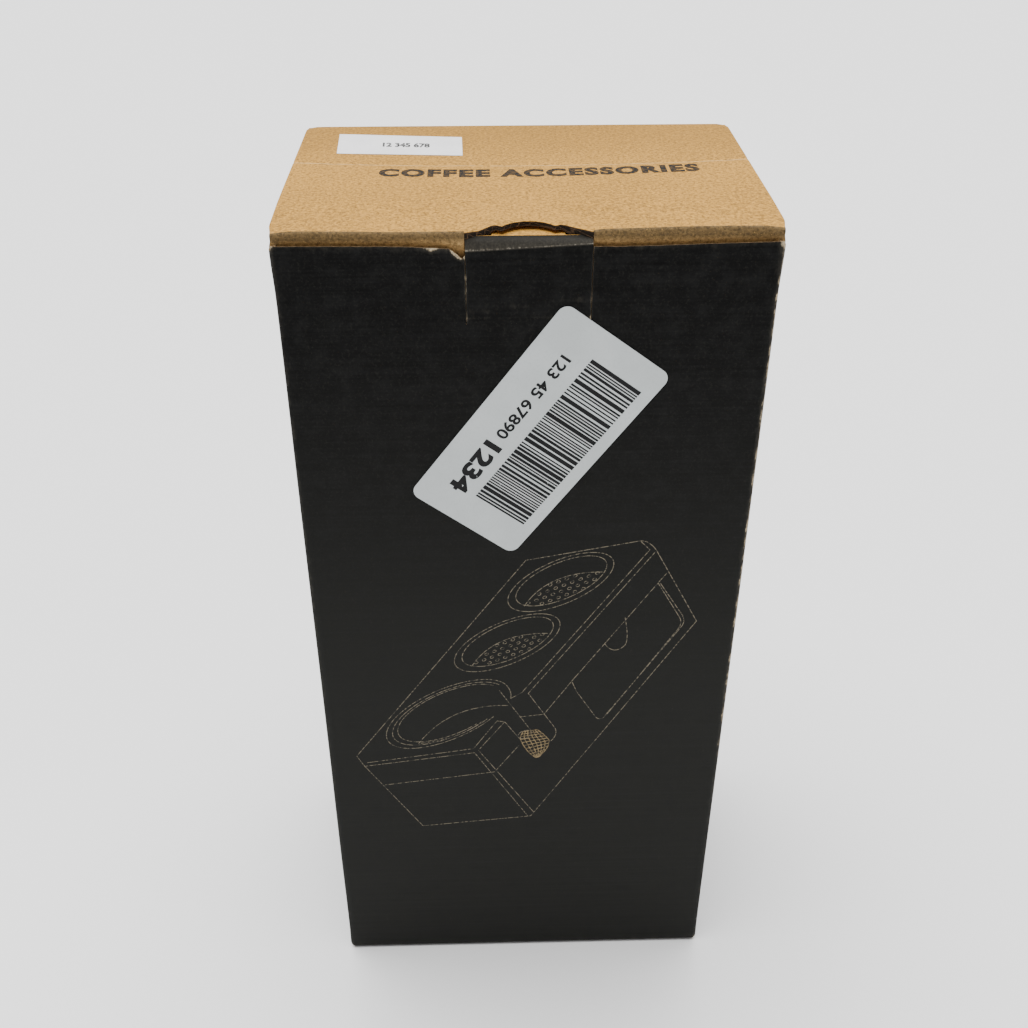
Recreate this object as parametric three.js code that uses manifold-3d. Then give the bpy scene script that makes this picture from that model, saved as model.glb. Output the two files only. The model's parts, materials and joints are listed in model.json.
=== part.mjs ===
// A boxed espresso knock box: a tall corrugated carton that stands on end, with a tuck-in lid and a
// lock tab, holding a three-well knock-box station between two moulded trays.
// Millimetres, +Z up, front at -Y. The origin is on the floor under the middle of the carton.
import * as THREE from "three";
import { mergeVertices } from "three/addons/utils/BufferGeometryUtils.js";
import Module from "manifold-3d";

const wasm = await Module();
wasm.setup();

// ---- driving dimensions -------------------------------------------------------------------------
const CARTON_WIDTH = 140;
const CARTON_DEPTH = 100;
const CARTON_HEIGHT = 300;
const BOARD = 1.8; // E-flute corrugated board
const GAP = 0.3; // running gap between separate boards
const CORNER_RADIUS = 1.5; // outside of a vertical fold
const RIM_DROP = 4.2; // from the top of the lid to the cut edge of the walls
const HINGE_SETBACK = 0.2; // a hinged board's edge stops this short of its fold line

const TUCK_FLAP_LENGTH = 25;
const TUCK_FLAP_LEAN = 10.5; // degrees, its foot inwards, so it clears the front wall as it lifts
const DUST_FLAP_LENGTH = 48;
const DUST_FLAP_TAPER = 0.4; // back edge, so the rising lid clears the rising flap

const LOCK_TAB_WIDTH = 34;
const LOCK_TAB_HEIGHT = 21.5; // from its crease to the cut edge of the walls
const LOCK_FOLD_RADIUS = 2.8;
const LOCK_SIDE_CUT = 0.4; // width of the knife cut beside the tab
const TONGUE_NECK = 20;
const TONGUE_BARB = 30;
const TONGUE_LENGTH = 11;
const ARCH_HALF_WIDTH = 7.5; // thumb notch in the lid, over the tongue
const ARCH_RISE = 4.6;

const GLUE_FLAP_WIDTH = 25;
const LABEL_THICKNESS = 0.2;
const LABEL_GAP = 0.05;

const TRAY_DEPTH = 40;
const TRAY_FLOOR = 12;
const TRAY_FRONT_Y = -40.8; // behind the leaning tuck flap
const TRAY_BACK_Y = 47.4;
const TRAY_HALF_WIDTH = 65.5; // inside the glue flap

const STATION_LENGTH = 264;
const STATION_DEPTH = 96;
const STATION_HEIGHT = 79; // floor to the rims of the well liners
const STATION_BACK_Y = 42.7; // where its feet face the carton's back wall
const STATION_CORNER = 4;
const FOOT_HEIGHT = 3;
const SLAB_THICKNESS = 27.3;
const RIM_STAND = 1.4; // the liners' rims above the slab

// ---- derived places ------------------------------------------------------------------------------
const halfWidth = CARTON_WIDTH / 2;
const halfDepth = CARTON_DEPTH / 2;
const rimZ = CARTON_HEIGHT - RIM_DROP; // cut edge of the four walls
const lidUnderZ = CARTON_HEIGHT - BOARD;
const innerX = halfWidth - BOARD;
const innerY = halfDepth - BOARD;
const wallFootZ = BOARD + GAP; // the walls stand on the outer bottom flap
const tuckFrontY = -(innerY - GAP);
const dustTopZ = lidUnderZ - GAP;
const lockCreaseZ = rimZ - LOCK_TAB_HEIGHT;
const tongueTopZ = lidUnderZ - 0.4;

const colours = {
  print: 0x1d1d1c, // black flexo ink on kraft liner
  kraft: 0xc7a57a,
  label: 0xdfe2e2,
  pulp: 0xb9b2a4,
  walnut: 0x5c3b25,
  silicone: 0x222222,
  steel: 0xc9cbcd,
};

const root = new THREE.Group();

// ---- solids and placement ------------------------------------------------------------------------
function solidOf(geometry) {
  const bare = new THREE.BufferGeometry();
  bare.setAttribute("position", geometry.getAttribute("position"));
  if (geometry.index) bare.setIndex(geometry.index);
  const merged = mergeVertices(bare, 1e-4);
  return new wasm.Manifold(
    new wasm.Mesh({
      numProp: 3,
      vertProperties: merged.attributes.position.array,
      triVerts: new Uint32Array(merged.index.array),
    }),
  );
}

function geometryOf(solid) {
  const mesh = solid.getMesh();
  const geometry = new THREE.BufferGeometry();
  geometry.setAttribute("position", new THREE.BufferAttribute(mesh.vertProperties, mesh.numProp));
  geometry.setIndex(new THREE.BufferAttribute(mesh.triVerts, 1));
  geometry.computeVertexNormals();
  return geometry;
}

function cut(geometry, ...tools) {
  return geometryOf(tools.reduce((solid, tool) => solid.subtract(solidOf(tool)), solidOf(geometry)));
}

function join(geometry, ...others) {
  return geometryOf(others.reduce((solid, other) => solid.add(solidOf(other)), solidOf(geometry)));
}

function add(parent, name, geometry, colour, roughness = 0.9, metalness = 0) {
  const material = new THREE.MeshStandardMaterial({ color: colour, roughness, metalness });
  const mesh = new THREE.Mesh(geometry, material);
  mesh.name = name;
  parent.add(mesh);
}

function block(x0, x1, y0, y1, z0, z1) {
  const box = new THREE.BoxGeometry(x1 - x0, y1 - y0, z1 - z0);
  return box.translate((x0 + x1) / 2, (y0 + y1) / 2, (z0 + z1) / 2);
}

function outline(points) {
  return new THREE.Shape(points.map(([a, b]) => new THREE.Vector2(a, b)));
}

function extrude(shape, depth, curveSegments = 8) {
  return new THREE.ExtrudeGeometry(shape, { depth, bevelEnabled: false, curveSegments });
}

// A board lying flat: outline in X and Y, thickness upwards from z0.
function flatBoard(shape, z0, thickness = BOARD) {
  return extrude(shape, thickness).translate(0, 0, z0);
}

// A board standing across the carton: outline in X and Z, its front face at y0.
function uprightBoard(shape, y0, thickness = BOARD) {
  return extrude(shape, thickness)
    .rotateX(Math.PI / 2)
    .translate(0, y0 + thickness, 0);
}

function rectangle(x0, x1, y0, y1) {
  return outline([[x0, y0], [x1, y0], [x1, y1], [x0, y1]]);
}

function roundedRectangle(width, height, radius) {
  const shape = new THREE.Shape();
  const x = width / 2;
  const y = height / 2;
  shape.moveTo(-x + radius, -y);
  shape.lineTo(x - radius, -y);
  shape.absarc(x - radius, -y + radius, radius, -Math.PI / 2, 0, false);
  shape.lineTo(x, y - radius);
  shape.absarc(x - radius, y - radius, radius, 0, Math.PI / 2, false);
  shape.lineTo(-x + radius, y);
  shape.absarc(-x + radius, y - radius, radius, Math.PI / 2, Math.PI, false);
  shape.lineTo(-x, -y + radius);
  shape.absarc(-x + radius, -y + radius, radius, Math.PI, 1.5 * Math.PI, false);
  return shape;
}

function disc(radius, z0, z1, x = 0, y = 0, segments = 40) {
  const cylinder = new THREE.CylinderGeometry(radius, radius, z1 - z0, segments);
  return cylinder.rotateX(Math.PI / 2).translate(x, y, (z0 + z1) / 2);
}

// A closed profile of [radius, z] points turned about Z. The points run so that the faces point out.
function turned(points, x, y, segments = 40) {
  const closed = [...points, points[0]].map(([radius, z]) => new THREE.Vector2(radius, z));
  return new THREE.LatheGeometry(closed, segments).rotateX(Math.PI / 2).translate(x, y, 0);
}

// ---- carton walls --------------------------------------------------------------------------------
// The front and back boards wrap round the vertical folds, and the sides butt between them.
function wrappedWall() {
  const foldX = halfWidth - CORNER_RADIUS;
  const foldY = -halfDepth + CORNER_RADIUS;
  const shape = new THREE.Shape();
  shape.moveTo(-foldX, -halfDepth);
  shape.absarc(foldX, foldY, CORNER_RADIUS, -Math.PI / 2, 0, false);
  shape.lineTo(halfWidth, -innerY);
  shape.lineTo(-halfWidth, -innerY);
  shape.absarc(-foldX, foldY, CORNER_RADIUS, Math.PI, 1.5 * Math.PI, false);
  return shape;
}

function buildWalls() {
  const tabSlot = LOCK_TAB_WIDTH / 2 + LOCK_SIDE_CUT;
  const tornWidth = 4.2;
  const tornDrop = 3.4;
  const wall = flatBoard(wrappedWall(), wallFootZ, rimZ - wallFootZ);
  const tabWindow = block(-tabSlot, tabSlot, -halfDepth - 1, -innerY + 1, lockCreaseZ - GAP, rimZ + 1);
  const torn = outline([
    [-tabSlot + 1, rimZ + 1], [-tabSlot - tornWidth, rimZ + 1], [-tabSlot - tornWidth, rimZ],
    [-tabSlot, rimZ - tornDrop], [-tabSlot + 1, rimZ - tornDrop],
  ]);
  const tornCorner = uprightBoard(torn, -halfDepth - 1, BOARD + 2);
  add(root, "front_panel", cut(wall, tabWindow, tornCorner), colours.print);

  const back = flatBoard(wrappedWall(), wallFootZ, dustTopZ - wallFootZ).rotateZ(Math.PI);
  add(root, "back_panel", back, colours.print);

  for (const [name, side] of [["left_panel", -1], ["right_panel", 1]]) {
    const x = side * (halfWidth - BOARD / 2);
    const y = innerY - GAP;
    add(root, name, block(x - BOARD / 2, x + BOARD / 2, -y, y, wallFootZ, rimZ), colours.print);
  }

  const glueInset = 8;
  const glueX = -(innerX - GAP);
  const glueY = innerY - GAP;
  const glueFlap = block(
    glueX, glueX + BOARD, glueY - GLUE_FLAP_WIDTH, glueY, wallFootZ + 3 * BOARD + glueInset, rimZ - glueInset,
  );
  add(root, "glue_flap", glueFlap, colours.kraft);
}

// ---- glued bottom: outer flap, inner flap, and two side flaps stacked inside ---------------------
function buildBottom() {
  const edge = 0.2;
  const outer = rectangle(-halfWidth + edge, halfWidth - edge, -halfDepth + edge, halfDepth);
  add(root, "bottom_outer_flap", flatBoard(outer, 0), colours.print);

  const x = innerX - GAP;
  const y = innerY - GAP;
  const layer = BOARD + GAP;
  const innerFlapDepth = 80;
  add(root, "bottom_inner_flap",
    flatBoard(rectangle(-x, x, -y, -y + innerFlapDepth), layer), colours.kraft);
  for (const [name, side] of [["bottom_left_flap", -1], ["bottom_right_flap", 1]]) {
    const reach = x - DUST_FLAP_LENGTH;
    const shape = side < 0 ? rectangle(-x, -reach, -y, y) : rectangle(reach, x, -y, y);
    add(root, name, flatBoard(shape, 2 * layer), colours.kraft);
  }
}

// ---- lid, tuck flap, lock tab and dust flaps -----------------------------------------------------
function buildLid() {
  const lidX = halfWidth - 0.4;
  const earX = LOCK_TAB_WIDTH / 2 + 0.6; // the notch is a little wider than the tab
  const earPeakX = 8.8;
  const earPeakRise = 2.4;
  const archFootRise = 0.7;
  const archRadius = (ARCH_HALF_WIDTH ** 2 + ARCH_RISE ** 2) / (2 * ARCH_RISE);
  const archCentreY = tuckFrontY + archFootRise + ARCH_RISE - archRadius;
  const archStart = Math.asin(ARCH_HALF_WIDTH / archRadius);
  const shape = new THREE.Shape();
  shape.moveTo(-lidX, tuckFrontY);
  shape.lineTo(-earX, tuckFrontY);
  shape.lineTo(-earPeakX, tuckFrontY + earPeakRise);
  shape.absarc(0, archCentreY, archRadius, Math.PI / 2 + archStart, Math.PI / 2 - archStart, true);
  shape.lineTo(earPeakX, tuckFrontY + earPeakRise);
  shape.lineTo(earX, tuckFrontY);
  shape.lineTo(lidX, tuckFrontY);
  shape.lineTo(lidX, halfDepth - HINGE_SETBACK);
  shape.lineTo(-lidX, halfDepth - HINGE_SETBACK);
  add(root, "lid_panel", extrude(shape, BOARD, 16).translate(0, 0, lidUnderZ), colours.kraft);

  const labelWidth = 40;
  const labelHeight = 20;
  const labelTurn = -0.1; // radians, stuck on by hand
  const [labelX, labelY] = [-38.3, 27.2];
  const label = extrude(roundedRectangle(labelWidth, labelHeight, 0.6), LABEL_THICKNESS)
    .rotateZ(labelTurn)
    .translate(labelX, labelY, CARTON_HEIGHT + LABEL_GAP);
  add(root, "lid_label", label, colours.label, 0.6);
}

// Hung from its crease at the lid's front edge: Z runs down from the crease, Y is its outer face.
function buildTuckFlap() {
  const flapX = innerX - GAP - 0.4;
  const topZ = -0.7;
  const slitX = LOCK_TAB_WIDTH / 2 + 0.5; // the gap that the lock tongue passes through
  const slitDrop = 4;
  const cornerCut = 7;
  const footZ = -TUCK_FLAP_LENGTH;
  const shape = outline([
    [-flapX + cornerCut, footZ], [flapX - cornerCut, footZ], [flapX, footZ + cornerCut], [flapX, topZ],
    [slitX, topZ], [slitX, -slitDrop], [-slitX, -slitDrop], [-slitX, topZ],
    [-flapX, topZ], [-flapX, footZ + cornerCut],
  ]);
  const flap = uprightBoard(shape, 0)
    .rotateX(THREE.MathUtils.degToRad(TUCK_FLAP_LEAN))
    .translate(0, tuckFrontY, lidUnderZ);
  add(root, "tuck_flap", flap, colours.kraft);
}

// The tab is cut out of the front wall and folds over its top; the tongue hooks under the lid.
function buildLockTab() {
  const bendY = -halfDepth + LOCK_FOLD_RADIUS;
  const bendZ = tongueTopZ - LOCK_FOLD_RADIUS;
  const innerRadius = LOCK_FOLD_RADIUS - BOARD;
  const profile = new THREE.Shape(); // X is the carton's Y, Y is its Z
  profile.moveTo(-halfDepth, lockCreaseZ);
  profile.lineTo(-innerY, lockCreaseZ);
  profile.absarc(bendY, bendZ, innerRadius, Math.PI, Math.PI / 2, true);
  profile.absarc(bendY, bendZ, LOCK_FOLD_RADIUS, Math.PI / 2, Math.PI, false);
  const [alongY, alongZ, alongX] = [[0, 1, 0], [0, 0, 1], [1, 0, 0]].map((v) => new THREE.Vector3(...v));
  const tab = extrude(profile, LOCK_TAB_WIDTH)
    .applyMatrix4(new THREE.Matrix4().makeBasis(alongY, alongZ, alongX))
    .translate(-LOCK_TAB_WIDTH / 2, 0, 0);
  add(root, "lock_tab", tab, colours.print);

  const neck = TONGUE_NECK / 2;
  const barb = TONGUE_BARB / 2;
  const footY = bendY + GAP;
  const barbY = footY + 4;
  const tipY = footY + TONGUE_LENGTH;
  const tongue = outline([
    [-neck, footY], [neck, footY], [neck, barbY], [barb, barbY], [barb - 4, tipY], [-barb + 4, tipY],
    [-barb, barbY], [-neck, barbY],
  ]);
  add(root, "lock_tongue", flatBoard(tongue, tongueTopZ - BOARD), colours.kraft);
}

function buildDustFlaps() {
  const frontY = tuckFrontY + BOARD + 2.9; // clears the tuck flap as it lifts out
  const backY = innerY - 4;
  for (const [name, side] of [["left_dust_flap", -1], ["right_dust_flap", 1]]) {
    const rootX = halfWidth - HINGE_SETBACK;
    const tipX = rootX - DUST_FLAP_LENGTH;
    const points = [
      [rootX, frontY], [rootX, backY],
      [tipX, backY - DUST_FLAP_TAPER * DUST_FLAP_LENGTH], [tipX, frontY + 6], [tipX + 4, frontY],
    ].map(([x, y]) => [side * x, y]);
    const shape = outline(side > 0 ? points : points.reverse());
    add(root, name, flatBoard(shape, dustTopZ - BOARD), colours.kraft);
  }
}

// ---- the big barcode sticker on the front --------------------------------------------------------
function buildFrontLabel() {
  const width = 76.2;
  const height = 38.1;
  const tilt = THREE.MathUtils.degToRad(53.3);
  const [centreX, centreZ] = [2.9, 236.4];
  const sticker = extrude(roundedRectangle(width, height, 4), LABEL_THICKNESS)
    .rotateZ(tilt)
    .rotateX(Math.PI / 2)
    .translate(centreX, -halfDepth - LABEL_GAP, centreZ);
  add(root, "front_label", sticker, colours.label, 0.6);
}

// ---- moulded trays that grip the station's two ends ----------------------------------------------
const trayFootZ = 3 * (BOARD + GAP);
const stationFootZ = trayFootZ + TRAY_FLOOR + GAP;

function buildTrays() {
  const clear = 0.5;
  const pocketX = STATION_DEPTH / 2 + clear;
  const pocketY = [STATION_BACK_Y - STATION_HEIGHT - clear, STATION_BACK_Y + clear];
  const tray = (z0, z1) => block(-TRAY_HALF_WIDTH, TRAY_HALF_WIDTH, TRAY_FRONT_Y, TRAY_BACK_Y, z0, z1);
  const pocket = (z0, z1) => block(-pocketX, pocketX, ...pocketY, z0, z1);

  const bottomTopZ = trayFootZ + TRAY_DEPTH;
  const bottom = cut(tray(trayFootZ, bottomTopZ), pocket(trayFootZ + TRAY_FLOOR, bottomTopZ + 1));
  add(root, "bottom_tray", bottom, colours.pulp);

  const ceilingZ = stationFootZ + STATION_LENGTH + GAP;
  const topZ = ceilingZ + TRAY_FLOOR;
  const fingerX = 30;
  const fingerY = 3;
  const fingerRadius = 10;
  const fingerHoles = [-fingerX, fingerX].map((x) =>
    disc(fingerRadius, ceilingZ - 1, topZ + 1, x, fingerY, 28));
  const top = cut(tray(topZ - TRAY_DEPTH, topZ), pocket(topZ - TRAY_DEPTH - 1, ceilingZ), ...fingerHoles);
  add(root, "top_tray", top, colours.pulp);
}

// ---- the station, in its own frame: X its length, front at -Y, Z up -------------------------------
const WELLS = [
  { name: "tamper", x: 92, radius: 32 },
  { name: "distributor", x: 16, radius: 32 },
];
const PORTAFILTER_WELL = { x: -73, radius: 41, floor: 32 };
const SLOT_HALF_WIDTH = 18;
const SLOT_CENTRE_Z = 54;
const WELL_DEPTH = 20;
const LINER = 1.6;
const slabZ = STATION_HEIGHT - RIM_STAND - SLAB_THICKNESS;
const slabTopZ = slabZ + SLAB_THICKNESS;
const housingZ = FOOT_HEIGHT + GAP;
const DRAWER = { x0: -6, x1: 118, back: 36, z0: 8, height: 40.8 };
const SCREW_PLACES = [[-124, -41], [-124, 41], [-15, 41], [125.5, 41]];

function stationBlock(z0, z1) {
  const shape = roundedRectangle(STATION_LENGTH, STATION_DEPTH, STATION_CORNER);
  return extrude(shape, z1 - z0, 5).translate(0, 0, z0);
}

// The portafilter's neck slot: a round-bottomed channel from the well out through the front.
function neckSlot() {
  const front = -STATION_DEPTH / 2 - 1;
  const radius = SLOT_HALF_WIDTH;
  const shape = new THREE.Shape();
  shape.moveTo(-radius, STATION_HEIGHT + 1);
  shape.lineTo(-radius, SLOT_CENTRE_Z);
  shape.absarc(0, SLOT_CENTRE_Z, radius, Math.PI, 2 * Math.PI, false);
  shape.lineTo(radius, STATION_HEIGHT + 1);
  return extrude(shape, -front, 12)
    .rotateX(Math.PI / 2)
    .translate(PORTAFILTER_WELL.x, 0, 0);
}

function buildHousing(station) {
  const { x0, x1, back, z0 } = DRAWER;
  const bay = block(x0 - 0.6, x1 + 0.6, -STATION_DEPTH / 2 - 1, back + 0.6, z0 - 0.8, slabZ + 1);
  const well = disc(PORTAFILTER_WELL.radius, PORTAFILTER_WELL.floor, slabZ + 1, PORTAFILTER_WELL.x, 0, 48);
  const counterbores = SCREW_PLACES.map(([x, y]) => disc(4.6, housingZ - 1, housingZ + 6, x, y, 20));
  const shankHoles = SCREW_PLACES.map(([x, y]) => disc(2.3, housingZ + 3, slabZ + 1, x, y, 16));
  const tools = [bay, well, neckSlot(), ...counterbores, ...shankHoles];
  add(station, "station_housing", cut(stationBlock(housingZ, slabZ - GAP), ...tools), colours.walnut, 0.6);
}

function buildSlab(station) {
  const wells = WELLS.map(({ x, radius }) => disc(radius, slabTopZ - WELL_DEPTH, slabTopZ + 1, x, 0, 48));
  const through = disc(PORTAFILTER_WELL.radius, slabZ - 1, slabTopZ + 1, PORTAFILTER_WELL.x, 0, 48);
  const pilots = SCREW_PLACES.map(([x, y]) => disc(2.3, slabZ - 1, slabZ + 14, x, y, 16));
  const tools = [...wells, through, neckSlot(), ...pilots];
  add(station, "station_top", cut(stationBlock(slabZ, slabTopZ), ...tools), colours.walnut, 0.6);
}

// A rubber liner: a sleeve down the well's wall with a flat rim on top of the slab.
function wellLiner(radius, floorZ, x) {
  const outer = radius - GAP;
  const inner = outer - LINER;
  const rim = radius + 3.5;
  const under = slabTopZ + GAP;
  const top = STATION_HEIGHT;
  const profile = [[inner, floorZ], [outer, floorZ], [outer, under], [rim, under], [rim, top], [inner, top]];
  return turned(profile, x, 0, 48);
}

function buildWellFittings(station) {
  for (const { name, x, radius } of WELLS) {
    const floorZ = slabTopZ - WELL_DEPTH + GAP;
    add(station, name + "_well_liner", wellLiner(radius, floorZ, x), colours.silicone, 0.8);

    const matRadius = radius - LINER - 3 * GAP;
    const matTop = floorZ + 2.4;
    const bumps = [];
    for (const [ring, count] of [[0, 1], [8, 6], [16, 12], [24, 18]]) {
      for (let i = 0; i < count; i++) {
        const angle = (2 * Math.PI * i) / count;
        const bumpX = x + ring * Math.cos(angle);
        bumps.push(disc(1.7, matTop - 0.5, matTop + 1, bumpX, ring * Math.sin(angle), 8));
      }
    }
    const mat = disc(matRadius, floorZ, matTop, x, 0, 40);
    add(station, name + "_well_mat", join(mat, ...bumps), colours.silicone, 0.85);
  }

  const { x, radius, floor } = PORTAFILTER_WELL;
  const reach = SLOT_HALF_WIDTH + 1;
  const mouth = block(x - reach, x + reach, -STATION_DEPTH, 0, 0, STATION_HEIGHT + 1);
  const liner = cut(wellLiner(radius, slabZ + 2, x), mouth);
  add(station, "portafilter_well_liner", liner, colours.silicone, 0.8);
  const mat = disc(radius - 2 * GAP, floor + GAP, floor + 3, x, 0, 48);
  add(station, "portafilter_well_mat", mat, colours.silicone, 0.85);
}

// The ribbed rest that the portafilter's neck knocks and lies on, in the bottom of the slot.
function buildNeckRest(station) {
  const outer = SLOT_HALF_WIDTH - GAP;
  const inner = outer - 4;
  const ribs = 9;
  const shape = new THREE.Shape();
  shape.absarc(0, SLOT_CENTRE_Z, outer, Math.PI, 2 * Math.PI, false);
  for (let i = ribs; i > 0; i--) {
    const step = Math.PI / ribs;
    const start = Math.PI + step * i;
    for (const [share, radius] of [[0, inner], [0.5, inner - 1.2], [0.8, inner]]) {
      const angle = start - step * share;
      shape.lineTo(radius * Math.cos(angle), SLOT_CENTRE_Z + radius * Math.sin(angle));
    }
  }
  shape.lineTo(-inner, SLOT_CENTRE_Z);
  const wellEdgeY = -PORTAFILTER_WELL.radius + 4.5;
  const length = STATION_DEPTH / 2 + wellEdgeY - GAP;
  const rest = extrude(shape, length, 20)
    .rotateX(Math.PI / 2)
    .translate(PORTAFILTER_WELL.x, wellEdgeY, 0);
  const well = disc(PORTAFILTER_WELL.radius + GAP, 0, STATION_HEIGHT, PORTAFILTER_WELL.x, 0, 48);
  add(station, "neck_rest", cut(rest, well), colours.silicone, 0.85);
}

function buildDrawer(station) {
  const { x0, x1, back, z0, height } = DRAWER;
  const front = -STATION_DEPTH / 2;
  const wall = 3;
  const z1 = z0 + height;
  const centreX = (x0 + x1) / 2;
  const cornerRadius = 10;
  const face = new THREE.Shape();
  face.moveTo(x0, z1);
  face.lineTo(x0, z0 + cornerRadius);
  face.absarc(x0 + cornerRadius, z0 + cornerRadius, cornerRadius, Math.PI, 1.5 * Math.PI, false);
  face.lineTo(x1 - cornerRadius, z0);
  face.absarc(x1 - cornerRadius, z0 + cornerRadius, cornerRadius, 1.5 * Math.PI, 2 * Math.PI, false);
  face.lineTo(x1, z1);
  const solid = extrude(face, back - front)
    .rotateX(Math.PI / 2)
    .translate(0, back, 0);
  const [insideY0, insideY1] = [front + wall + 1, back - wall];
  const upper = block(x0 + wall, x1 - wall, insideY0, insideY1, z0 + wall + 7, z1 + 1);
  const lower = block(x0 + 7 + wall, x1 - 7 - wall, insideY0, insideY1, z0 + wall, z1);
  const finger = disc(14, -2 * wall, wall + 3).rotateX(-Math.PI / 2).translate(centreX, front, z1);
  const barY = -6;
  const barZ = z1 - 9;
  const barHole = disc(4.3, x0 - 1, x1 + 1, 0, 0, 20).rotateY(Math.PI / 2).translate(0, barY, barZ);
  const barSlots = block(x0 - 1, x1 + 1, barY - 4.3, barY + 4.3, barZ, z1 + 1);
  const drawer = cut(solid, upper, lower, finger, barHole, barSlots);
  add(station, "drawer", drawer, colours.walnut, 0.6);

  const bar = disc(4, x0 + 0.4, x1 - 0.4, 0, 0, 20).rotateY(Math.PI / 2).translate(0, barY, barZ);
  add(station, "knock_bar", bar, colours.steel, 0.35, 0.9);
  const [low, high] = [x0 + wall + 1.5, x1 - wall - 1.5];
  const sleeve = turned([[4.3, low], [8, low], [8, high], [4.3, high]], 0, 0, 28)
    .rotateY(Math.PI / 2)
    .translate(0, barY, barZ);
  add(station, "knock_sleeve", sleeve, colours.silicone, 0.85);
}

function buildFeetAndScrews(station) {
  const footX = STATION_LENGTH / 2 - 22;
  const footY = STATION_DEPTH / 2 - 22;
  let number = 1;
  for (const x of [-footX, footX]) {
    for (const y of [-footY, footY]) {
      add(station, "foot_" + number, disc(9, 0, FOOT_HEIGHT, x, y, 24), colours.silicone, 0.85);
      number += 1;
    }
  }
  SCREW_PLACES.forEach(([x, y], index) => {
    const head = housingZ + 1;
    const tip = slabZ + 13;
    const profile = [[0, head], [4, head], [4, head + 2], [1.9, head + 4.5], [1.9, tip - 1], [0, tip]];
    add(station, "screw_" + (index + 1), turned(profile, x, y, 16), colours.steel, 0.35, 0.9);
  });
}

function buildStation() {
  const station = new THREE.Group();
  buildHousing(station);
  buildSlab(station);
  buildWellFittings(station);
  buildNeckRest(station);
  buildDrawer(station);
  buildFeetAndScrews(station);
  // Packed on end: its length stands up, its top faces the carton's front, its front faces right.
  const packed = new THREE.Matrix4().makeBasis(
    new THREE.Vector3(0, 0, 1), new THREE.Vector3(-1, 0, 0), new THREE.Vector3(0, -1, 0));
  station.setRotationFromMatrix(packed);
  station.position.set(0, STATION_BACK_Y, stationFootZ + STATION_LENGTH / 2);
  root.add(station);
}

buildWalls();
buildBottom();
buildLid();
buildTuckFlap();
buildLockTab();
buildDustFlaps();
buildFrontLabel();
buildTrays();
buildStation();

export default root;
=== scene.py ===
"""Looks for a boxed espresso knock box: a printed corrugated carton with its station inside.

Millimetres are used throughout and turned into metres where meshes are made. +Z is up, the front is
at -Y. Each board is a solid sheet between two matching grids of points, with a cut edge all round.
"""
import json
import math
import random

import bpy
import numpy as np
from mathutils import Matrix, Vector, noise


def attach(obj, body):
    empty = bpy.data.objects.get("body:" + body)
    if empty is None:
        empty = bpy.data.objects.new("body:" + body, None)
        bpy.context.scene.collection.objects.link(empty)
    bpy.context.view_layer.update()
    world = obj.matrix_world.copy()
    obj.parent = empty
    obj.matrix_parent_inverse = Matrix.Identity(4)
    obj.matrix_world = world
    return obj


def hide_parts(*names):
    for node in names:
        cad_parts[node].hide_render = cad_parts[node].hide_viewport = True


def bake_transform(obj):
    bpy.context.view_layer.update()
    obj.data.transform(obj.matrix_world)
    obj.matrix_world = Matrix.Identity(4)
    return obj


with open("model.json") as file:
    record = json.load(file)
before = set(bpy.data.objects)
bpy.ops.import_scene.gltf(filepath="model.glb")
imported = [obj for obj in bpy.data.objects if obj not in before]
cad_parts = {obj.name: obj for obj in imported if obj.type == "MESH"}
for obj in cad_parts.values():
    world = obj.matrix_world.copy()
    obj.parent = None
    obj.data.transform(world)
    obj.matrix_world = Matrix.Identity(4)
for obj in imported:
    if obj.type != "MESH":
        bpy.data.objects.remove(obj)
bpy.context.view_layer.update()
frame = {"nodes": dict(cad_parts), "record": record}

MM = 0.001
BOARD = 1.8
FLUTE_PITCH = 3.4
SHARP_ANGLE = 38  # edges bent more than this, in degrees, are shown sharp
CAP = 0.73  # a capital's height in the font at size 1

# ---- the carton's own sizes ----------------------------------------------------------------------
HALF_X, HALF_Y = 69.7, 50.0  # the walls sit a little inside the lid's sides
TOP_Z = 300.0
FOLD_RADIUS = 1.9  # the upright folds between the walls
FOOT_RADIUS = 2.2  # the folds at the foot
WINDOW_Z = 272.6  # the tab's own mesh starts here, just under its crease
CREASE_Z = 274.3  # the tab bends out here
TAB_LEFT, TAB_RIGHT = -17.15, 17.4
SLOT_LEFT, SLOT_RIGHT = -17.35, 17.6
SIDE_RIM_Z = 294.4  # the side walls turn into the dust flaps above this
BACK_RIM_Z = 296.6  # the back wall turns into the lid above this
LID_FRONT_Y = -47.85  # the lid turns into the tuck flap in front of this
LID_BACK_Y = 47.0
LID_HALF_X = 69.97
DUST_TOP_Z = 297.9  # the dust flaps lie under the lid

# The front wall's cut edge from left to right, torn beside the tab.
RIM = [
    (-70, 295.8), (-45, 295.5), (-31, 295.3), (-29, 295.0), (-24, 294.8), (-21.6, 294.6),
    (-20.6, 294.0), (-20.0, 293.5), (-19.2, 292.9), (-18.6, 292.1), (-18.0, 291.7),
    (SLOT_LEFT, 292.7), (SLOT_RIGHT, 294.9), (26, 294.8), (48, 295.3), (70, 295.8),
]


def blend_in(value, low, high):
    """0 up to low, 1 from high on, and smooth between them."""
    t = np.clip((value - low) / (high - low), 0.0, 1.0)
    return t * t * (3 - 2 * t)


def bell(value, width):
    """1 at 0, falling away to both sides."""
    return np.exp(-(value / width) ** 2)


def wobble(x, y, z, seed, scale):
    """Smooth noise, about -1 to 1."""
    return noise.noise(Vector((x * scale + seed, y * scale - seed, z * scale)))


def rim_z(x):
    """The top of the front wall, a little frayed."""
    xs, zs = zip(*RIM)
    frayed = 0.14 * wobble(x, 0, 0, 7.1, 0.9)
    return float(np.interp(x, xs, zs)) + frayed


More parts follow.
